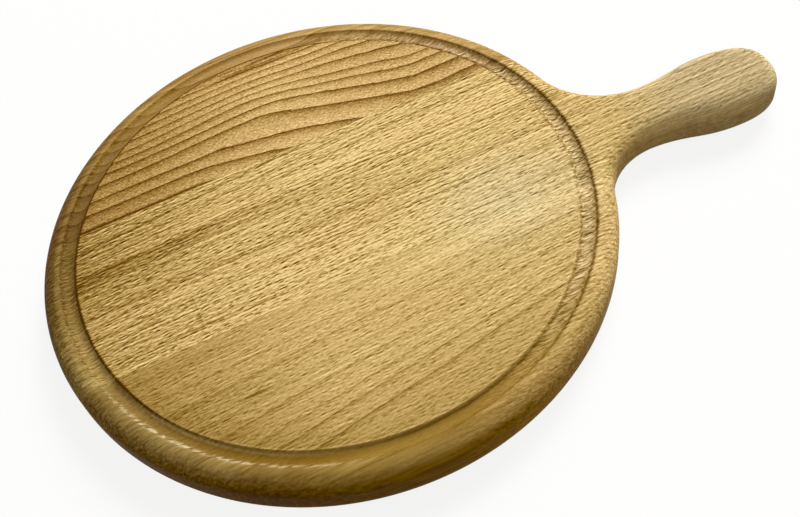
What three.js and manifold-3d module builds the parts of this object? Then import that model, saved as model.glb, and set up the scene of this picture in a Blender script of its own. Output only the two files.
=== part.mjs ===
// Round beech serving board with a handle, in millimetres, +Z up.
// Three staves are glued edge to edge, and the panel is then sawn round, given a juice groove
// and rounded over. The origin is the disc's centre on the underside, and the handle points to +X.
import * as THREE from "three";
import { mergeVertices } from "three/addons/utils/BufferGeometryUtils.js";
import Module from "manifold-3d";

const wasm = await Module();
wasm.setup();

// Disc
const discDiameter = 250;
const thickness = 22;
const edgeRadius = 8;
const leastFlat = 0.4;

// Handle: lengths are measured outwards from the rim of the disc
const neckLength = 27;
const neckWidth = 26.4;
const gripLength = 64;
const gripWidth = 36;
const handleLength = 90;

// How far each curve of the handle keeps its direction before it turns, as a share of its length
const flareEase = 0.44;
const tipEase = 0.68;

// Juice groove
const grooveInset = 9;
const grooveWidth = 7;
const grooveDepth = 1.8;

// Staves: the grain leans a little from the handle's axis, and the middle stave sits off centre
const grainAngle = 4.3;
const middleStaveWidth = 79;
const middleStaveShift = 5.5;
const glueThickness = 0.1;
const glueClearance = 0.05;

// Finish
const backColor = 0xb98d4f;
const middleColor = 0xd2ac68;
const frontColor = 0xc9a05c;
const glueColor = 0x8f7040;
const woodRoughness = 0.6;
const glueRoughness = 0.45;

// Fineness of the facets
const facetLength = 5;
const edgeFacets = 5;
const grooveFacets = 6;

// Places that follow from the sizes above
const discRadius = discDiameter / 2;
const neckReach = discRadius + neckLength;
const gripReach = discRadius + gripLength;
const tipReach = discRadius + handleLength;
const neckHalf = neckWidth / 2;
const gripHalf = gripWidth / 2;
const grooveRadius = discRadius - grooveInset - grooveWidth / 2;
const grooveTurns = Math.ceil((2 * Math.PI * grooveRadius) / facetLength);
const backJoint = middleStaveShift + middleStaveWidth / 2;
const frontJoint = middleStaveShift - middleStaveWidth / 2;
const jointHalf = glueThickness / 2 + glueClearance;

// A closed geometry as a solid that can be cut and joined.
function solid(geometry) {
  geometry.deleteAttribute("normal");
  geometry.deleteAttribute("uv");
  const merged = mergeVertices(geometry);
  return new wasm.Manifold(new wasm.Mesh({
    numProp: 3,
    vertProperties: new Float32Array(merged.attributes.position.array),
    triVerts: new Uint32Array(merged.index.array),
  }));
}

// A finished solid as a named mesh with its own finish.
function piece(name, body, color, roughness) {
  const { vertProperties, triVerts } = body.getMesh();
  const geometry = new THREE.BufferGeometry();
  geometry.setAttribute("position", new THREE.BufferAttribute(vertProperties, 3));
  geometry.setIndex(new THREE.BufferAttribute(triVerts, 1));
  geometry.computeVertexNormals();
  const material = new THREE.MeshStandardMaterial({ color, roughness, metalness: 0 });
  const mesh = new THREE.Mesh(geometry, material);
  mesh.name = name;
  return mesh;
}

// Half of the outline, from the point opposite the handle round to the handle's tip:
// the disc, the fillet that meets it smoothly, the flare to the grip, and the full round tip.
function halfOutline() {
  const beyondDisc = neckReach ** 2 + neckHalf ** 2 - discRadius ** 2;
  const filletRadius = beyondDisc / (2 * (discRadius - neckHalf));
  const filletY = neckHalf + filletRadius;
  const meetAngle = Math.atan2(filletY, neckReach);
  const flare = flareEase * (gripReach - neckReach);
  return [
    new THREE.EllipseCurve(0, 0, discRadius, discRadius, Math.PI, meetAngle, true),
    new THREE.EllipseCurve(
      neckReach, filletY, filletRadius, filletRadius, Math.PI + meetAngle, 1.5 * Math.PI, false),
    new THREE.CubicBezierCurve(
      new THREE.Vector2(neckReach, neckHalf),
      new THREE.Vector2(neckReach + flare, neckHalf),
      new THREE.Vector2(gripReach - flare, gripHalf),
      new THREE.Vector2(gripReach, gripHalf)),
    new THREE.CubicBezierCurve(
      new THREE.Vector2(gripReach, gripHalf),
      new THREE.Vector2(gripReach + tipEase * (tipReach - gripReach), gripHalf),
      new THREE.Vector2(tipReach, tipEase * gripHalf),
      new THREE.Vector2(tipReach, 0)),
  ];
}

// The whole outline, anticlockwise, with both halves alike.
function outline() {
  const far = [];
  for (const curve of halfOutline()) {
    const steps = Math.ceil(curve.getLength() / facetLength);
    far.push(...curve.getSpacedPoints(steps).slice(0, -1));
  }
  const near = far.map((point) => new THREE.Vector2(point.x, -point.y));
  const tip = new THREE.Vector2(tipReach, 0);
  return new THREE.Shape([...near, tip, ...far.slice(1).reverse()]);
}

// The plate with its edge rounded over above and below, all the way round.
// The rounding leaves a little flat on the side and along the neck, however thin they are.
function plate() {
  const round = Math.min(edgeRadius, thickness / 2 - leastFlat, neckHalf - leastFlat);
  const geometry = new THREE.ExtrudeGeometry(outline(), {
    depth: thickness - 2 * round,
    bevelThickness: round,
    bevelSize: round,
    bevelOffset: -round,
    bevelSegments: edgeFacets,
  });
  geometry.translate(0, 0, round);
  return solid(geometry);
}

// The ring that the groove takes out of the top: a shallow arc below, and open above the board.
function grooveRing() {
  const half = grooveWidth / 2;
  const arcRadius = (half ** 2 + grooveDepth ** 2) / (2 * grooveDepth);
  const arcHeight = thickness - grooveDepth + arcRadius;
  const spread = 2 * Math.atan2(grooveDepth, half);
  const bottom = new THREE.EllipseCurve(
    grooveRadius, arcHeight, arcRadius, arcRadius, 1.5 * Math.PI - spread, 1.5 * Math.PI + spread, false);
  const profile = bottom.getPoints(grooveFacets);
  profile.push(new THREE.Vector2(grooveRadius + half, thickness + grooveDepth));
  profile.push(new THREE.Vector2(grooveRadius - half, thickness + grooveDepth));
  profile.push(profile[0].clone());
  const geometry = new THREE.LatheGeometry(profile, grooveTurns);
  geometry.rotateX(Math.PI / 2);
  return solid(geometry);
}

// A block along the grain, between two distances across it from the disc's centre.
// It stops at the neck, so that the handle stays in one piece with the middle stave.
function grainBlock(from, to, gap) {
  const start = -2 * discRadius;
  const end = neckReach - gap;
  const geometry = new THREE.BoxGeometry(end - start, to - from, 2 * thickness);
  geometry.translate((start + end) / 2, (from + to) / 2, thickness / 2);
  geometry.rotateZ(THREE.MathUtils.degToRad(grainAngle));
  return solid(geometry);
}

const board = plate().subtract(grooveRing());
const beyond = 2 * discRadius;

const backStave = board.intersect(grainBlock(backJoint + jointHalf, beyond, jointHalf));
const frontStave = board.intersect(grainBlock(-beyond, frontJoint - jointHalf, jointHalf));
const middleStave = board
  .subtract(grainBlock(backJoint - jointHalf, beyond, 0))
  .subtract(grainBlock(-beyond, frontJoint + jointHalf, 0));

// The film of cured glue that fills the joint at the given distance from the disc's centre.
function glueLine(joint) {
  return board.intersect(grainBlock(joint - glueThickness / 2, joint + glueThickness / 2, jointHalf));
}

const servingBoard = new THREE.Group();
servingBoard.add(
  piece("back_stave", backStave, backColor, woodRoughness),
  piece("middle_stave", middleStave, middleColor, woodRoughness),
  piece("front_stave", frontStave, frontColor, woodRoughness),
  piece("back_glue_line", glueLine(backJoint), glueColor, glueRoughness),
  piece("front_glue_line", glueLine(frontJoint), glueColor, glueRoughness),
);

export default servingBoard;
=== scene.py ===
"""Round beech serving board: fine staves cut from one smooth board, in solid procedural beech."""

import math

import bmesh
import bpy
from mathutils import Matrix, Vector
from mathutils.geometry import interpolate_bezier, tessellate_polygon


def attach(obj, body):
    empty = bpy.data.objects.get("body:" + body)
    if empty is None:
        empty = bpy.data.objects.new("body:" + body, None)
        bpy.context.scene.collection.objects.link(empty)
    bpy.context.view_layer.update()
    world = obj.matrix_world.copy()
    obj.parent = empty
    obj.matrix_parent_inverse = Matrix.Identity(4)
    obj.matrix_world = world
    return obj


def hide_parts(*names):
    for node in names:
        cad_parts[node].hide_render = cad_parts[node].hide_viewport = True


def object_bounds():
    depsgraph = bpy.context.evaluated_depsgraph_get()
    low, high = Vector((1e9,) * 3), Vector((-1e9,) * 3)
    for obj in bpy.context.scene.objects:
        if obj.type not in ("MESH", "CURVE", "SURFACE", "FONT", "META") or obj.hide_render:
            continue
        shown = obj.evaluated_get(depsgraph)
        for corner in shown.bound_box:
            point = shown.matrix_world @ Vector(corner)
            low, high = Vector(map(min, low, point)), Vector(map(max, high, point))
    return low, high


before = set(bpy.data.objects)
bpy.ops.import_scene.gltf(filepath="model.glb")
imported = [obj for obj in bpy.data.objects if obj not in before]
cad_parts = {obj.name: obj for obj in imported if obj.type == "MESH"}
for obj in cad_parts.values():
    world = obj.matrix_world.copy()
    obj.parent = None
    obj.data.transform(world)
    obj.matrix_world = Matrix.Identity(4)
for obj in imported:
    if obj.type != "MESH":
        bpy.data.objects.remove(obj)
cad_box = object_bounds()

MM = 0.001

# Board, in metres
DISC_RADIUS = -cad_box[0].x
THICKNESS = cad_box[1].z
EDGE_RADIUS = 8 * MM

# Handle
NECK_REACH = DISC_RADIUS + 27 * MM
NECK_HALF = 13.2 * MM
GRIP_REACH = DISC_RADIUS + 64 * MM
GRIP_HALF = 18 * MM
TIP_REACH = cad_box[1].x
FLARE_EASE = 0.44
TIP_EASE = 0.68

# Juice groove
GROOVE_OUTER = DISC_RADIUS - 9 * MM
GROOVE_INNER = GROOVE_OUTER - 7 * MM
GROOVE_DEPTH = 1.8 * MM
OUTER_LIP = 0.4 * MM
INNER_LIP = 0.3 * MM

# Staves and glue
GRAIN_ANGLE = math.radians(4.3)
BACK_JOINT = 45 * MM
FRONT_JOINT = -34 * MM
GLUE_HALF = 0.05 * MM
GLUE_SEAT = 0.06 * MM

# Fineness of the meshes
OUTLINE_STEP = 1.5 * MM
EDGE_STEPS = 14
GROOVE_STEPS = 10
GROOVE_TURNS = 480
LIP_STEPS = 4
SHARP_ANGLE = math.radians(35)
CUT_TOLERANCE = 1e-7

# Beech: half a fibre's width in millimetres, the depth of its relief, its finish and its colours by tone
FIBRE_HALF = 0.36
RELIEF = 0.2 * MM
ROUGHNESS = 0.55
SPECULAR_LEVEL = 0.03
BEECH = (
    (0.0, (92, 57, 0)),
    (0.25, (133, 100, 30)),
    (0.5, (174, 142, 75)),
    (0.75, (215, 183, 118)),
    (1.0, (255, 225, 160)),
)

# Growth rings of each stave, and those that show as layers in the right rim:
# width in millimetres, and strength of the dark line that ends the ring
BACK_RINGS = (
    (8.1, 1), (6.5, 1), (7.5, 1), (5.5, 1), (4.5, 1),
    (3.8, 0.98), (5.2, 0.99), (5, 0.98), (5, 0.98), (4.5, 1),
)
MIDDLE_RINGS = (
    (5, 1), (4, 1), (8.6, 0.93), (5.5, 1), (3, 0.98),
    (3.5, 0.95), (10, 0.97), (11, 0.92), (16, 0.92), (10, 1),
)
FRONT_RINGS = (
    (9.5, 1), (7.5, 0.98), (5.5, 0.95), (8.5, 0.93),
    (6.5, 0.88), (9.5, 0.9), (7, 0.86), (9, 0.8),
)
EDGE_RINGS = ((3.6, 1), (2.9, 1), (4.2, 1), (3.2, 1))

# Millimetres over which a dark line falls off to the next ring's light wood
RING_FALL = 0.1

# Camera
CAMERA_PLACE = Vector((-25.7, -303.4, 393.9)) * MM
CAMERA_AIM = Vector((22.86, -34.06, 22)) * MM
CAMERA_ROLL = math.radians(-12.07)
CAMERA_LENS = 50.24
CAMERA_SENSOR = 36
CAMERA_CLIP = 0.01

# Floor: it lies a little under the board, so that their faces don't coincide
FLOOR_HALF = 6.0
FLOOR_DROP = 0.2 * MM
FLOOR_SHADOW = 0.13
FLOOR_COLOUR = (0.28, 0.21, 0.12, 1)

# Lights: azimuth and elevation in degrees, distance and size in metres, power in watts, and colour
KEY_LIGHT = (48, 43, 5.0, 2.4, 280, (1, 1, 1))
FILL_LIGHT = (-105, 35, 5.0, 3.0, 26, (1, 0.9, 0.7))
SURROUND_COLOUR = (1, 0.88, 0.68, 1)
SURROUND_STRENGTH = 0.19


def turn(centre, radius, start, end, count):
    """Points along an arc with a set count of steps, both ends included."""
    angles = [start + (end - start) * i / count for i in range(count + 1)]
    return [centre + radius * Vector((math.cos(a), math.sin(a))) for a in angles]


def arc(centre, radius, start, end):
    """Points along an arc at the outline's step, without its last one."""
    count = math.ceil(abs(end - start) * radius / OUTLINE_STEP)
    return turn(centre, radius, start, end, count)[:-1]


def bezier(start, leave, arrive, end):
    """Points along a cubic curve at about the outline's step, without its last one."""
    count = math.ceil((end - start).length / OUTLINE_STEP) + 1
    return [Vector(p) for p in interpolate_bezier(start, leave, arrive, end, count)][:-1]


def board_outline():
    """The board's outline, anticlockwise from the point opposite the handle."""
    beyond_disc = NECK_REACH ** 2 + NECK_HALF ** 2 - DISC_RADIUS ** 2
    fillet = beyond_disc / (2 * (DISC_RADIUS - NECK_HALF))
    fillet_centre = Vector((NECK_REACH, NECK_HALF + fillet))
    meet = math.atan2(fillet_centre.y, fillet_centre.x)
    flare = Vector((FLARE_EASE * (GRIP_REACH - NECK_REACH), 0))
    neck = Vector((NECK_REACH, NECK_HALF))
    grip = Vector((GRIP_REACH, GRIP_HALF))
    tip = Vector((TIP_REACH, 0))
    tip_along = Vector((TIP_EASE * (TIP_REACH - GRIP_REACH), 0))
    tip_aside = Vector((0, TIP_EASE * GRIP_HALF))
    far = arc(Vector((0, 0)), DISC_RADIUS, math.pi, meet)
    far += arc(fillet_centre, fillet, math.pi + meet, 1.5 * math.pi)
    far += bezier(neck, neck + flare, grip - flare, grip)
    far += bezier(grip, grip + tip_along, tip + tip_aside, tip)
    near = [Vector((p.x, -p.y)) for p in far]
    return near + [tip] + far[:0:-1]


def outward_normals(outline):
    """The outline's unit normals, pointing away from the board."""
    normals = []
    for i in range(len(outline)):
        run = outline[(i + 1) % len(outline)] - outline[i - 1]
        normals.append(Vector((run.y, -run.x)).normalized())
    return normals


def edge_profile():
    """How far in from the outline the surface lies at each height, from the top to the underside."""
    upper = []
    for i in range(EDGE_STEPS + 1):
        angle = 0.5 * math.pi * i / EDGE_STEPS
        inset = EDGE_RADIUS * (1 - math.sin(angle))
        drop = EDGE_RADIUS * (1 - math.cos(angle))
        upper.append((inset, THICKNESS - drop))
    return upper + [(inset, THICKNESS - height) for inset, height in reversed(upper)]


def half_groove(lip):
    """Half of the groove's section, from the rounded lip to the middle, about a point on the top face."""
    half = (GROOVE_OUTER - GROOVE_INNER) / 2
    radius = (half ** 2 + GROOVE_DEPTH ** 2) / (2 * GROOVE_DEPTH)
    bowl = Vector((0, radius - GROOVE_DEPTH))
    reach = math.sqrt((radius + lip) ** 2 - (bowl.y + lip) ** 2)
    corner = Vector((reach, -lip))
    inward = bowl - corner
    meet = math.atan2(inward.y, inward.x)
    rounded = turn(corner, lip, 0.5 * math.pi, meet, LIP_STEPS)
    return rounded + turn(bowl, radius, meet - math.pi, -0.5 * math.pi, GROOVE_STEPS)[1:]


def groove_profile():
    """Radius and height of the groove's surface, from its outer lip to its inner one."""
    middle = (GROOVE_OUTER + GROOVE_INNER) / 2
    outer = half_groove(OUTER_LIP)
    inner = [Vector((-p.x, p.y)) for p in reversed(half_groove(INNER_LIP))]
    return [(middle + p.x, THICKNESS + p.y) for p in outer + inner[1:]]


def circle(radius):
    """Points round the disc's centre."""
    turns = [2 * math.pi * i / GROOVE_TURNS for i in range(GROOVE_TURNS)]
    return [Vector((radius * math.cos(a), radius * math.sin(a))) for a in turns]


def add_ring(bm, points, height):
    """A closed ring of vertices at one height."""
    return [bm.verts.new((p.x, p.y, height)) for p in points]


def bridge(bm, rings):
    """Smooth quads between each ring of vertices and the next."""
    for first, second in zip(rings, rings[1:]):
        count = len(first)
        for i in range(count):
            j = (i + 1) % count
            bm.faces.new((first[i], first[j], second[j], second[i])).smooth = True


def whole_board():
    """The board as one closed surface, before it is parted along the glue lines."""
    bm = bmesh.new()
    outline = board_outline()
    normals = outward_normals(outline)
    edge_rings = []
    for inset, height in edge_profile():
        edge_rings.append(add_ring(bm, [p - n * inset for p, n in zip(outline, normals)], height))
    groove_rings = [add_ring(bm, circle(radius), height) for radius, height in groove_profile()]
    bridge(bm, edge_rings)
    bridge(bm, groove_rings)
    loops = (edge_rings[0], groove_rings[0])
    verts = loops[0] + loops[1]
    for triangle in tessellate_polygon([[v.co for v in loop] for loop in loops]):
        bm.faces.new([verts[i] for i in triangle])
    bm.faces.new(groove_rings[-1])
    bm.faces.new(edge_rings[-1])
    bmesh.ops.recalc_face_normals(bm, faces=bm.faces)
    return bm


def part_of(board, low, high):
    """The part of the board between two distances across the grain, closed where it is cut."""
    bm = board.copy()
    across = Vector((-math.sin(GRAIN_ANGLE), math.cos(GRAIN_ANGLE), 0))
    for distance, side in ((low, -across), (high, across)):
        if distance is None:
            continue
        bmesh.ops.bisect_plane(
            bm, geom=bm.verts[:] + bm.edges[:] + bm.faces[:], dist=CUT_TOLERANCE,
            plane_co=across * distance, plane_no=side, clear_outer=True)
        open_edges = [edge for edge in bm.edges if edge.is_boundary]
        bmesh.ops.triangle_fill(bm, use_beauty=True, edges=open_edges, normal=side)
    bmesh.ops.recalc_face_normals(bm, faces=bm.faces)
    return bm


def add_piece(name, bm, material):
    """Adds a finished piece that stands for the frame's node of the same name."""
    mesh = bpy.data.meshes.new(name)
    bm.to_mesh(mesh)
    bm.free()
    mesh.set_sharp_from_angle(angle=SHARP_ANGLE)
    mesh.materials.append(material)
    piece = bpy.data.objects.new(name + "_fine", mesh)
    bpy.context.scene.collection.objects.link(piece)
    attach(piece, "root")
    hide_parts(name)


class Field:
    """A number that varies over a surface: one output of a shader node, with arithmetic."""

    def __init__(self, graph, socket):
        self.graph = graph
        self.socket = socket

    def __add__(self, other):
        return self.graph.math("ADD", self, other)

    def __sub__(self, other):
        return self.graph.math("SUBTRACT", self, other)

    def __rsub__(self, other):
        return self.graph.math("SUBTRACT", other, self)

    def __mul__(self, other):
        return self.graph.math("MULTIPLY", self, other)

    def __truediv__(self, other):
        return self.graph.math("DIVIDE", self, other)

    def __pow__(self, other):
        return self.graph.math("POWER", self, other)

    __radd__ = __add__
    __rmul__ = __mul__


class Graph:
    """A material's node tree, with places along, across and through the wood in millimetres."""

    def __init__(self, name, lean):
        self.material = bpy.data.materials.new(name)
        self.material.use_nodes = True
        self.tree = self.material.node_tree
        self.surface = self.tree.nodes["Principled BSDF"]
        coordinates = self.node("ShaderNodeTexCoord")
        turned = self.node("ShaderNodeMapping")
        turned.inputs["Rotation"].default_value = (0, 0, -GRAIN_ANGLE)
        turned.inputs["Scale"].default_value = (1 / MM,) * 3
        self.tree.links.new(coordinates.outputs["Object"], turned.inputs["Vector"])
        self.along, self.across, self.height = self.parts(turned.outputs["Vector"])
        self.depth = THICKNESS / MM - self.height
        # Pores lean a little from the grain and waver
        self.leaning = self.across - lean * self.along + 2 * self.noise((18, 7, 14), shift=81)
        # How squarely the surface cuts across the fibres, and how much it faces up
        east, north, up = self.parts(coordinates.outputs["Normal"])
        self.cut = self.math("ABSOLUTE", east * math.cos(GRAIN_ANGLE) + north * math.sin(GRAIN_ANGLE))
        self.level = 0.2 + 0.8 * self.ramp(up, 0.3, 0.9)

    def node(self, kind, **settings):
        """A new node of the given kind."""
        made = self.tree.nodes.new(kind)
        for key, value in settings.items():
            setattr(made, key, value)
        return made

    def parts(self, vector):
        """The three numbers of a vector."""
        made = self.node("ShaderNodeSeparateXYZ")
        self.tree.links.new(vector, made.inputs["Vector"])
        return [Field(self, socket) for socket in made.outputs]

    def put(self, socket, value):
        """Joins a field to a socket, or sets a plain number on it."""
        if isinstance(value, Field):
            self.tree.links.new(value.socket, socket)
        else:
            socket.default_value = value

    def math(self, operation, *values):
        """The result of one operation on fields and numbers."""
        made = self.node("ShaderNodeMath", operation=operation)
        for socket, value in zip(made.inputs, values):
            self.put(socket, value)
        return Field(self, made.outputs[0])

    def ramp(self, value, low, high, smooth=False):
        """0 at low, 1 at high, and the same beyond them. High may be the smaller of the two."""
        made = self.node("ShaderNodeMapRange")
        made.interpolation_type = "SMOOTHSTEP" if smooth else "LINEAR"
        for name, number in (("Value", value), ("From Min", low), ("From Max", high)):
            self.put(made.inputs[name], number)
        return Field(self, made.outputs["Result"])

    def bell(self, value, centre, width):
        """1 at the centre, falling smoothly to 0 on both sides."""
        away = (value - centre) / width
        return self.math("EXPONENT", away * away * -1)

    def zone(self, along, across):
        """Fades in from 0 to 1 between two places along the grain and two across it."""
        return self.ramp(self.along, *along) * self.ramp(self.across, *across)

    def vector(self, lengths, shift=0, across=None):
        """Places measured in the given lengths along, across and through the board."""
        made = self.node("ShaderNodeCombineXYZ")
        places = (self.along, across or self.across, self.height)
        for socket, place, length in zip(made.inputs, places, lengths):
            self.put(socket, place / length + shift)
        return made.outputs["Vector"]

    def noise(self, lengths, detail=0, shift=0, across=None):
        """Soft noise about 0, from -0.5 to 0.5, with patches of about the given lengths."""
        made = self.node("ShaderNodeTexNoise")
        made.inputs["Scale"].default_value = 1
        made.inputs["Detail"].default_value = detail
        self.tree.links.new(self.vector(lengths, shift, across), made.inputs["Vector"])
        return Field(self, made.outputs["Fac"]) - 0.5

    def fibres(self, lengths, shift=0):
        """Fibres that are light on the side towards the back and dark on the other, and their height."""
        near = self.noise(lengths, shift=shift, across=self.across - FIBRE_HALF)
        far = self.noise(lengths, shift=shift, across=self.across + FIBRE_HALF)
        return near - far, near + far

    def flecks(self, lengths):
        """Dark spindles along the grain, each of its own size and strength, with light wood between."""
        made = self.node("ShaderNodeTexVoronoi")
        made.inputs["Scale"].default_value = 1
        self.tree.links.new(self.vector(lengths), made.inputs["Vector"])
        chance = self.parts(made.outputs["Color"])[0]
        reach = 0.3 + 0.35 * chance
        near = 1 - self.ramp(Field(self, made.outputs["Distance"]) / reach, 0.2, 1, smooth=True)
        return near * (0.35 + 0.65 * chance)

    def dashes(self, cell, length, width, shift):
        """Thin dark pores along the grain, one in each cell, and the light sides of them."""
        place = self.vector(cell, shift, self.leaning)
        made = self.node("ShaderNodeTexVoronoi")
        made.inputs["Scale"].default_value = 1
        made.inputs["Randomness"].default_value = 0.8
        self.tree.links.new(place, made.inputs["Vector"])
        here = self.parts(place)
        middle = self.parts(made.outputs["Position"])
        chance = self.parts(made.outputs["Color"])[0]
        along = self.math("ABSOLUTE", here[0] - middle[0]) * cell[0]
        aside = (here[1] - middle[1]) * cell[1]
        strength = chance * (0.5 + 0.5 * chance) * self.ramp(along, 0.5 * length, 0.1 * length)
        pore = strength * self.bell(aside, 0, width)
        light = strength * self.bell(aside, -2 * width, 1.2 * width)
        return pore, light

    def stops(self, value, stops):
        """The colour that belongs to a value from 0 to 1, blended between stops."""
        made = self.node("ShaderNodeValToRGB")
        elements = made.color_ramp.elements
        while len(elements) < len(stops):
            elements.new(0.5)
        for element, (position, shade) in zip(elements, stops):
            element.position = position
            element.color = (*shade, 1)
        self.put(made.inputs["Fac"], value)
        return Field(self, made.outputs["Color"])

    def rings(self, place, rings):
        """Rises across each growth ring from 0 to the ring's strength, where its dark line ends it."""
        period = sum(width for width, strength in rings)
        stops = []
        reached = 0
        for width, strength in rings:
            stops.append(((reached + RING_FALL) / period, (0, 0, 0)))
            reached += width
            stops.append((reached / period, (strength,) * 3))
        return self.stops(self.math("WRAP", place, period, 0) / period, stops)

    def mark(self, along, across, half_length, half_width):
        """A single spindle-shaped mark in the top face."""
        shape = self.bell(self.along, along, half_length) * self.bell(self.across, across, half_width)
        return shape * self.ramp(self.depth, 4, 1)


class Beech(Graph):
    """Beech, with masks from 0 to 1 for stretches of groove and rim, where tone is changed and light and
    shade are painted.
    """

    def __init__(self, name, lean=0):
        super().__init__(name, lean)
        # Millimetres out from the groove's inner lip: the groove ends at 7 and the disc at 16
        radius = self.math("SQRT", self.along * self.along + self.across * self.across)
        self.out = radius - GROOVE_INNER / MM
        self.edge = self.ramp(self.out, -0.2, 0.7, smooth=True)
        self.groove = self.edge * self.ramp(self.out, 7.4, 6.4)
        self.disc = self.ramp(self.out, 31, 16)
        self.crest = self.ramp(self.out, 6.4, 7.4) * self.disc
        self.near = self.ramp(self.across, -40, -95)
        self.right = self.ramp(self.along, 30, 100)
        self.near_right = self.zone((20, 60), (-40, -75))
        self.far_right = self.zone((40, 80), (10, 50))
        self.back_left = self.zone((-75, -95), (20, 45))


def linear(shade):
    """A colour written in 0 to 255 display numbers, as linear light."""
    return [((c / 255 + 0.055) / 1.055) ** 2.4 if c > 10 else c / 255 / 12.92 for c in shade]


def painted_ridge_highlight(wood):
    """A painted highlight in short dashes on the groove's outer lip on the near left."""
    highlight_side = wood.ramp(-0.67 * wood.along - 0.74 * wood.across, 95, 112)
    dashes = 0.25 + 0.75 * wood.ramp(wood.noise((6, 1.3, 4), shift=53), -0.04, 0.04)
    return wood.bell(wood.out, 6.4, 0.95) * highlight_side * dashes


def painted_edge_light_and_shade(wood):
    """Painted light and shade on the groove, the rim and the face beside them, darkest on the near left
    away from the key light and low on the near rim.
    """
    along, across = wood.along, wood.across
    # Towards the near left, away from the key light, where shade is painted
    away_from_key = wood.ramp(-0.77 * along - 0.64 * across, -40, 110)
    far = wood.ramp(0.92 * across - 0.4 * along, -40, 40)
    left_end = wood.zone((-80, -105), (-30, 10))
    # Painted light on the far groove floor and the near right groove
    far_floor = wood.zone((0, 40), (60, 95)) * wood.ramp(wood.out, 3, 5)
    groove = (0.12 * far_floor + 0.13 * wood.near_right
              - 0.1 * left_end - 0.07 * wood.near - 0.08 - 0.14 * away_from_key)
    crest = 0.2 * wood.near * wood.right - 0.01 - 0.09 * away_from_key
    outside = wood.ramp(wood.out, 7.5, 10) * wood.disc
    inside = wood.ramp(wood.out, -11, -2) * (1 - wood.edge)
    # Painted shade low on the near rim
    low_near_shade = wood.ramp(-0.57 * along - 0.82 * across, 70, 115) * wood.ramp(wood.depth, 2.5, 7)
    return (wood.groove * groove + wood.crest * crest
            - outside * (0.18 * far + 0.12 * left_end)
            - 0.06 * inside * (wood.ramp(away_from_key, 0.6, 0.9) + wood.back_left)
            - 0.28 * low_near_shade)


def groove_lips(wood):
    """Fine broken dark lines along the groove's lips, partly painted shade where a lip shades the groove,
    and painted light on its inner wall on the near side.
    """
    out = wood.out
    near_left = wood.zone((-10, -50), (-40, -65))
    broken = 0.9 + 1.5 * wood.noise((6, 1.5, 3), detail=2, shift=51)
    ragged = wood.right * wood.noise((1.6, 1.6, 2), shift=55)
    inner_place = 1.2 * wood.near + 0.9 * wood.far_right + 2.5 * ragged - 0.1
    inner_strength = 0.3 + 0.7 * wood.ramp(0.8 * wood.across - 0.6 * wood.along, -60, 40)
    inner = wood.bell(out, inner_place, 0.5) * (1 - 0.8 * near_left) * inner_strength
    outer_right = wood.right * (1 - 0.5 * wood.ramp(wood.across, 10, 60))
    outer = wood.bell(out, 7.1, 0.7) * outer_right + 0.2 * wood.bell(out, 6.7, 0.8) * wood.near
    # Painted light on the groove's inner wall on the near side
    wall = 0.1 * wood.bell(out, 0, 0.6) * wood.near + 0.28 * wood.bell(out, 1.2, 0.7) * near_left
    return wall - broken * (0.8 * inner + 0.55 * outer)


def far_edge(wood):
    """Painted shade and light on the groove and rim on the far side: darker walls, crest and far right
    groove, lighter at the far left.
    """
    along, across, out = wood.along, wood.across, wood.out
    far_left = wood.bell(along, -52, 24) * wood.ramp(across, 50, 80)
    middle_wall = 0.09 * wood.bell(out, 2.5, 1.5) * wood.bell(along, -15, 25)
    wall = 0.13 * wood.bell(out, 3, 1.6) + 0.04 * wood.bell(out, 6, 1.5) + middle_wall
    middle_crest = wood.crest * wood.bell(along, -10, 25) * wood.ramp(across, 60, 90)
    # Painted shade on the far walls and crest, painted light at the far left
    return (0.07 * wood.edge * far_left
            - wood.ramp(across, 50, 90) * wall
            - 0.4 * wood.far_right * wood.bell(out, 1.7, 0.9)
            - wood.back_left * (0.08 * wood.groove + 0.03 * wood.crest)
            - 0.15 * middle_crest)


def near_edge(wood):
    """The near side of the groove and rim: fibres, the painted highlight on the ridge, and painted shade on
    the left crest and low down.
    """
    along, across = wood.along, wood.across
    fibres = wood.near * wood.ramp(along, -10, 30) * wood.noise((2.2, 0.5, 1), detail=1, shift=59)
    left_lip = wood.zone((-80, -105), (-70, -20)) * wood.bell(wood.out, 7.3, 1.1)
    low_middle = wood.bell(along, -10, 45) * wood.ramp(across, -80, -100)
    low_right = wood.near_right * wood.ramp(wood.depth, 4, 8)
    # Painted highlight on the ridge, painted shade on the left crest and low on the near rim
    return (fibres * (0.35 * wood.groove + 0.6 * wood.crest) + 0.46 * painted_ridge_highlight(wood)
            - 0.15 * left_lip - wood.crest * (0.1 * low_middle + 0.13 * low_right))


def edge_tone(wood):
    """All that changes the tone of the groove and rim, painted light and shade among it, with long fibres
    along the crest.
    """
    fibres = 0.6 * wood.crest * wood.noise((45, 1.2, 1.5), detail=2, shift=57)
    return painted_edge_light_and_shade(wood) + groove_lips(wood) + far_edge(wood) + near_edge(wood) + fibres


def end_grain(wood):
    """Fine pores where a surface cuts across the fibres, rough where the groove's cutter tore them."""
    right = wood.ramp(wood.along, 20, 70)
    torn = right * wood.ramp(wood.across, 10, 60) * wood.bell(wood.out, 2.5, 2.6)
    crossed = right * wood.bell(wood.out, 3, 3)
    return (wood.cut * (1.15 * wood.noise((1.6, 1, 1), detail=1, shift=61) - 0.06)
            + 1.3 * torn * wood.noise((1.5, 1.1, 1.5), detail=2, shift=63)
            + 1.7 * crossed * wood.noise((7, 0.6, 2), detail=1, shift=65))


def edge_layers(wood, wander):
    """Growth rings that show as lines where the right of the groove and rim cuts down through them."""
    layers = wood.rings(wood.across + wander - 2.6 * wood.depth, EDGE_RINGS)
    shown = wood.edge * wood.ramp(wood.along, 30, 80) * (1 + wood.bell(wood.out, 3.5, 3))
    return shown * layers ** 4


def pale_patch(wood):
    """A pale patch of the face towards the handle."""
    return wood.bell(wood.along, 75, 32) * wood.bell(wood.across, -28, 24)


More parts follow.
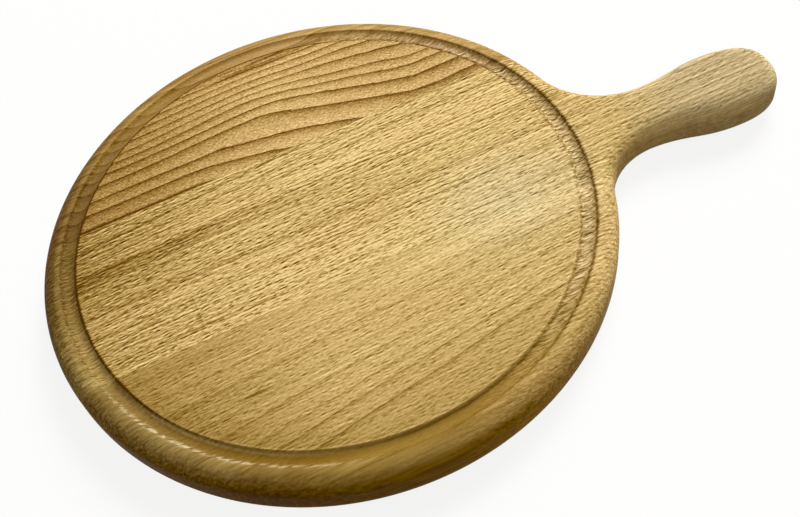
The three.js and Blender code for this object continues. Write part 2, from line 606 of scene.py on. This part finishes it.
def beech_colour(wood, tone, hue):
    """Colour by tone, greyer on the handle, pale patch, left rim and painted ridge highlight, and richer
    low on the near rim and on the far groove's outer wall, to go with the painted shade there.
    """
    along, across, out = wood.along, wood.across, wood.out
    worn = wood.ramp(along, 125, 175, smooth=True)
    pale = pale_patch(wood)
    left_rim = wood.edge * wood.ramp(along, -40, -95)
    torn = wood.bell(out, 3.5, 3) * wood.ramp(along, 40, 90)
    # Richer colour on the far groove's outer wall, to go with the painted shade there
    far_walls = 0.1 * wood.bell(out, 6.2, 0.8) - 0.03 * wood.bell(out, 4.5, 1.5)
    far_groove = far_walls * wood.ramp(across, 40, 80)
    # Richer colour low on the near rim, to go with the painted shade there
    shaded_near_side = wood.ramp(-0.26 * along - 0.97 * across, 60, 105)
    shade_richness = shaded_near_side * wood.ramp(wood.depth, 1, 7) * wood.ramp(along, 100, 10)
    greyed = 0.2 * worn + 0.16 * pale + 0.07 * left_rim + 0.1 * torn + 0.25 * painted_ridge_highlight(wood)
    drift = 0.012 * wood.noise((70, 16, 30), shift=71)
    made = wood.node("ShaderNodeHueSaturation")
    wood.put(made.inputs["Hue"], hue + 0.006 * worn + 0.012 * pale + 0.006 * left_rim + drift)
    wood.put(made.inputs["Saturation"], 1 - greyed + far_groove + 0.27 * shade_richness)
    wood.put(made.inputs["Color"], wood.stops(tone, [(place, linear(shade)) for place, shade in BEECH]))
    return Field(wood, made.outputs["Color"])


def finish_beech(wood, tone, relief, hue=0.5):
    """Joins the colour that belongs to a tone, and the relief, to the surface."""
    shader = wood.surface
    wood.put(shader.inputs["Base Color"], beech_colour(wood, tone, hue))
    wood.put(shader.inputs["Roughness"], ROUGHNESS - 0.15 * relief)
    shader.inputs["Specular IOR Level"].default_value = SPECULAR_LEVEL
    bump = wood.node("ShaderNodeBump")
    bump.inputs["Strength"].default_value = 1
    bump.inputs["Distance"].default_value = RELIEF
    wood.put(bump.inputs["Height"], relief)
    wood.tree.links.new(bump.outputs["Normal"], shader.inputs["Normal"])
    return wood.material


def back_rings(wood):
    """Growth rings that hump in the middle of the stave and slide away to the right."""
    along, across = wood.along, wood.across
    first_slide = 54.5
    hump_place = -6

    def slide(line):
        start = -42 + 2.2 * wood.math("MAXIMUM", line - first_slide, 0)
        end = 57 + 0.6 * (line - first_slide)
        reached = 0.5 * wood.ramp(along, start, end) + 0.5 * wood.ramp(along, start, end, smooth=True)
        return 0.385 * reached * wood.math("MAXIMUM", 100 - across, 0)

    beside = along - hump_place
    away = wood.math("MINIMUM", beside, 0) / 45 + wood.math("MAXIMUM", beside, 0) / 26
    swell = wood.ramp(across, 58, 70, smooth=True) * (1 - 0.7 * wood.ramp(across, 94, 104))
    hump = (3 + 2 * wood.bell(across, 85, 5)) * swell * wood.bell(away, 0, 1)
    wander = 1.8 * wood.noise((36, 9, 14), detail=2) + 0.7 * wood.noise((9, 2.4, 4), detail=2, shift=7)
    place = across - hump + slide(across + slide(across + 6)) + wander + 0.35 * wood.depth
    return wood.rings(place - 46.4, BACK_RINGS)


def back_beech():
    """Flat-sawn beech with bold growth lines."""
    wood = Beech("back_stave_beech")
    along, across = wood.along, wood.across
    ring = back_rings(wood)
    late = ring ** 8
    # Darker to the left: partly the wood's own colour, partly painted shade
    left = wood.ramp(along, 10, -80, smooth=True)
    right = wood.ramp(along, 20, 70)
    shown = (1 - wood.edge * (0.6 + 0.2 * right)) * (1 - 0.2 * left)
    first_line = wood.bell(across, 46.2, 0.9) * wood.ramp(along, -32, -44) * (1 - wood.edge)
    ragged = 1 + 2.5 * wood.noise((12, 1.2, 4), shift=83)
    figure = wood.bell(along, 8, 30) * wood.bell(across, 105, 2.6) * ragged
    lines = shown * (0.4 * ring ** 2 + 0.42 * late) + 0.3 * first_line + 0.55 * figure
    shade, rise = wood.fibres((1.4, 0.9, 2))
    grain = wood.noise((0.9, 0.6, 0.9), shift=95)
    fleck = wood.flecks((2.4, 1.0, 8))
    patch = wood.noise((70, 22, 30))
    calm = 0.9 - 0.6 * wood.edge
    streaks = calm * (0.3 * shade + 0.62 * grain - 0.06 * fleck)
    tone = (0.81 - 0.27 * left - 0.08 * right + 0.1 * patch - lines + streaks
            + end_grain(wood) + edge_tone(wood))
    relief = calm * (0.25 * rise - 0.15 * fleck) - 0.4 * shown * late
    return finish_beech(wood, tone, relief, hue=0.493)


def middle_rings(wood, wander):
    """Growth rings that climb to the right near the back joint."""
    along, across = wood.along, wood.across
    left_rise = 0.025 * wood.math("MINIMUM", along + 60, 0)
    right_rise = 0.033 * (wood.math("MINIMUM", along, 50) + 60)
    climb = (right_rise + left_rise) * wood.math("MAXIMUM", (across - 22) / 8, 0)
    place = across - climb + wander - 1.2 * wood.depth
    return wood.rings(-38.6 - place, MIDDLE_RINGS)


def middle_bands(wood):
    """Broad lighter and darker bands along the stave."""
    along, across = wood.along, wood.across
    return (wood.bell(across, 26, 5) * wood.ramp(along, -30, 20)
            - 0.8 * wood.bell(across, 3, 9) * wood.ramp(along, 70, 20)
            + 1.3 * wood.bell(across, -24, 7) * wood.bell(along, 0, 60))


def handle_sides(wood):
    """Painted light on the handle's rounded edge, and fine fibres along its side."""
    along, depth = wood.along, wood.depth
    lit_edge = wood.ramp(along, 125, 150) * wood.ramp(depth, 0.1, 2) * wood.ramp(depth, 10, 5)
    side = wood.ramp(along, 115, 140) * wood.ramp(depth, 2, 6)
    # Painted light on the rounded edge
    return 0.2 * lit_edge + 0.5 * side * wood.noise((6, 0.6, 0.7), detail=1, shift=67)


def middle_beech():
    """Beech cut almost along the rings: few growth lines and many short dark pores."""
    wood = Beech("middle_stave_beech", lean=0.06)
    along, across, right = wood.along, wood.across, wood.right
    wander = 1.4 * wood.noise((40, 8, 12), detail=2, shift=3)
    wander += 0.7 * wood.noise((10, 2.5, 5), detail=2, shift=5)
    ring = middle_rings(wood, wander)
    ragged = 1 + 2 * wood.noise((30, 1.6, 6), shift=23)
    brown = wood.bell(across, 19.5, 3.4) * wood.ramp(along, 30, -50, smooth=True) * ragged
    lines = (1 - 0.8 * wood.edge) * (0.1 * ring ** 3 + 0.4 * ring ** 12 + 0.2 * brown)
    marks = wood.mark(-82.5, -15.5, 3, 0.8) + 0.5 * wood.mark(-64, -17, 0.4, 8)
    pore, light = wood.dashes((4.5, 1.55, 14), 4.9, 0.33, shift=11)
    small_pore, small_light = wood.dashes((2.9, 1.05, 9), 3.2, 0.27, shift=2)
    grain = wood.noise((1.1, 0.6, 1.1), shift=91)
    shade, rise = wood.fibres((2, 0.85, 4), shift=4)
    long_shade, long_rise = wood.fibres((40, 1.0, 8), shift=21)
    patch = wood.noise((80, 12, 30), shift=9)
    # Darker to the left: partly the wood's own colour, partly painted shade
    left = wood.ramp(along, -20, -110, smooth=True) * (0.12 + 0.16 * wood.ramp(across, -10, 25))
    worn = wood.ramp(along, 125, 165)
    edge_calm = wood.edge * (0.6 - 0.5 * right)
    calm = (0.98 - edge_calm - 0.1 * right - 0.2 * pale_patch(wood) - 0.3 * worn) * wood.level
    streaks = (0.4 * light - 0.78 * pore + 0.2 * small_light - 0.52 * small_pore
               + 0.4 * shade + 0.5 * long_shade + 0.3 * grain)
    tone = (0.85 - left - 0.02 * right - 0.1 * worn + 0.06 * middle_bands(wood) + 0.1 * patch
            - lines - 0.35 * marks - 0.25 * edge_layers(wood, wander) + calm * streaks
            + handle_sides(wood) + end_grain(wood) + edge_tone(wood))
    relief = calm * (0.15 * rise + 0.2 * long_rise - 0.45 * pore - 0.25 * small_pore)
    return finish_beech(wood, tone, relief)


def front_beech():
    """Beech with finer pores, and growth lines that fan out to the left."""
    wood = Beech("front_stave_beech", lean=0.05)
    along, across = wood.along, wood.across
    fan = (across + 35) / (1 - 0.0031 * along) - 35
    wander = 1.4 * wood.noise((36, 8, 12), detail=2, shift=13)
    wander += 0.7 * wood.noise((10, 2.5, 5), detail=2, shift=15)
    ring = wood.rings(fan + wander - 1.4 * wood.depth + 101.5, FRONT_RINGS)
    lines = (1 - 0.85 * wood.edge) * (0.08 * ring ** 3 + 0.34 * ring ** 9)
    mark = wood.mark(-55, -67, 5, 0.7)
    pore, light = wood.dashes((4.3, 1.5, 14), 4.6, 0.31, shift=31)
    small_pore, small_light = wood.dashes((2.8, 0.95, 9), 3.0, 0.26, shift=33)
    grain = wood.noise((1.1, 0.6, 1.1), shift=93)
    shade, rise = wood.fibres((1.9, 0.7, 4), shift=35)
    long_shade, long_rise = wood.fibres((20, 0.7, 8), shift=41)
    patch = wood.noise((80, 16, 30), shift=39)
    bands = 1.2 * wood.bell(across, -41, 5) * wood.ramp(along, 0, 40) - 0.7 * wood.bell(across, -66, 12)
    # Darker to the left: partly the wood's own colour, partly painted shade
    left = wood.ramp(along, -10, -100, smooth=True)
    right = wood.ramp(along, 20, 90)
    low = wood.ramp(across, -72, -104)
    edge_calm = wood.edge * (0.6 - 0.45 * right)
    calm = (0.95 - edge_calm - 0.15 * left + 0.15 * right - 0.2 * low) * wood.level
    streaks = (0.2 * light - 0.44 * pore + 0.1 * small_light - 0.3 * small_pore
               + 0.25 * shade + 0.25 * long_shade + 0.25 * grain)
    tone = (0.82 - 0.24 * left - 0.18 * low + 0.06 * bands + 0.1 * patch
            - lines - 0.5 * mark - 0.2 * edge_layers(wood, wander) + calm * streaks
            + end_grain(wood) + edge_tone(wood))
    relief = calm * (0.15 * rise + 0.2 * long_rise - 0.45 * pore - 0.25 * small_pore)
    return finish_beech(wood, tone, relief)


def cured_glue():
    """A thin brown line of cured wood glue."""
    glue = Beech("wood_glue")
    stain = glue.noise((6, 1, 3), detail=3)
    return finish_beech(glue, 0.4 + 0.3 * stain, 0.5 * stain)


def build_board():
    """The staves and glue lines, each in place of its node."""
    board = whole_board()
    back = part_of(board, BACK_JOINT + GLUE_SEAT, None)
    middle = part_of(board, FRONT_JOINT + GLUE_SEAT, BACK_JOINT - GLUE_SEAT)
    front = part_of(board, None, FRONT_JOINT - GLUE_SEAT)
    add_piece("back_stave", back, back_beech())
    add_piece("middle_stave", middle, middle_beech())
    add_piece("front_stave", front, front_beech())
    glue = cured_glue()
    for name, joint in (("back_glue_line", BACK_JOINT), ("front_glue_line", FRONT_JOINT)):
        film = part_of(board, joint - GLUE_HALF, joint + GLUE_HALF)
        add_piece(name, film, glue)
    board.free()


def make_camera():
    """A camera at the photograph's angle, with its roll."""
    forward = (CAMERA_AIM - CAMERA_PLACE).normalized()
    level = forward.cross(Vector((0, 0, 1))).normalized()
    rise = level.cross(forward)
    right = level * math.cos(CAMERA_ROLL) + rise * math.sin(CAMERA_ROLL)
    up = rise * math.cos(CAMERA_ROLL) - level * math.sin(CAMERA_ROLL)
    data = bpy.data.cameras.new("camera")
    data.lens = CAMERA_LENS
    data.sensor_width = CAMERA_SENSOR
    data.clip_start = CAMERA_CLIP
    camera = bpy.data.objects.new("camera", data)
    facing = Matrix((right, up, -forward)).transposed().to_4x4()
    camera.matrix_world = Matrix.Translation(CAMERA_PLACE) @ facing
    bpy.context.scene.collection.objects.link(camera)
    bpy.context.scene.camera = camera


def seen_directly(tree):
    """1 for rays from the camera or from a mirror or glass, 0 for the light that falls on the board."""
    path = tree.nodes.new("ShaderNodeLightPath")
    total = path.outputs["Is Camera Ray"]
    for kind in ("Is Glossy Ray", "Is Transmission Ray"):
        either = tree.nodes.new("ShaderNodeMath")
        either.operation = "MAXIMUM"
        tree.links.new(total, either.inputs[0])
        tree.links.new(path.outputs[kind], either.inputs[1])
        total = either.outputs[0]
    return total


def floor_material():
    """White to the camera apart from a soft shadow, and a dull colour to the light that it throws back."""
    material = bpy.data.materials.new("floor")
    material.use_nodes = True
    nodes = material.node_tree.nodes
    links = material.node_tree.links
    nodes.clear()
    output = nodes.new("ShaderNodeOutputMaterial")
    pick = nodes.new("ShaderNodeMixShader")
    shown = nodes.new("ShaderNodeMixShader")
    shown.inputs["Fac"].default_value = FLOOR_SHADOW
    white = nodes.new("ShaderNodeEmission")
    lit = nodes.new("ShaderNodeBsdfDiffuse")
    lit.inputs["Color"].default_value = (1, 1, 1, 1)
    dull = nodes.new("ShaderNodeBsdfDiffuse")
    dull.inputs["Color"].default_value = FLOOR_COLOUR
    links.new(seen_directly(material.node_tree), pick.inputs["Fac"])
    links.new(white.outputs[0], shown.inputs[1])
    links.new(lit.outputs[0], shown.inputs[2])
    links.new(dull.outputs[0], pick.inputs[1])
    links.new(shown.outputs[0], pick.inputs[2])
    links.new(pick.outputs[0], output.inputs["Surface"])
    return material


def make_floor():
    """A wide flat floor just under the board."""
    mesh = bpy.data.meshes.new("floor")
    signs = ((-1, -1), (1, -1), (1, 1), (-1, 1))
    corners = [(FLOOR_HALF * x, FLOOR_HALF * y, -FLOOR_DROP) for x, y in signs]
    mesh.from_pydata(corners, [], [(0, 1, 2, 3)])
    mesh.materials.append(floor_material())
    floor = bpy.data.objects.new("floor", mesh)
    bpy.context.scene.collection.objects.link(floor)


def add_light(name, azimuth, elevation, distance, size, power, tint):
    """A square soft light aimed at the board's middle."""
    data = bpy.data.lights.new(name, "AREA")
    data.size = size
    data.energy = power
    data.color = tint
    light = bpy.data.objects.new(name, data)
    around = math.radians(azimuth)
    above = math.radians(elevation)
    level = Vector((math.cos(around), math.sin(around), 0))
    back = level * math.cos(above) + Vector((0, 0, math.sin(above)))
    light.location = back * distance
    light.rotation_euler = back.to_track_quat("Z", "Y").to_euler()
    bpy.context.scene.collection.objects.link(light)


def make_surround():
    """A dim warm surround that is white to the camera."""
    world = bpy.data.worlds.new("surround")
    bpy.context.scene.world = world
    world.use_nodes = True
    nodes = world.node_tree.nodes
    links = world.node_tree.links
    nodes.clear()
    output = nodes.new("ShaderNodeOutputWorld")
    pick = nodes.new("ShaderNodeMixShader")
    dim = nodes.new("ShaderNodeBackground")
    dim.inputs["Color"].default_value = SURROUND_COLOUR
    dim.inputs["Strength"].default_value = SURROUND_STRENGTH
    white = nodes.new("ShaderNodeBackground")
    links.new(seen_directly(world.node_tree), pick.inputs["Fac"])
    links.new(dim.outputs[0], pick.inputs[1])
    links.new(white.outputs[0], pick.inputs[2])
    links.new(pick.outputs[0], output.inputs["Surface"])


make_camera()
build_board()
make_floor()
add_light("key", *KEY_LIGHT)
add_light("fill", *FILL_LIGHT)
make_surround()
bpy.context.scene.view_settings.view_transform = "Standard"
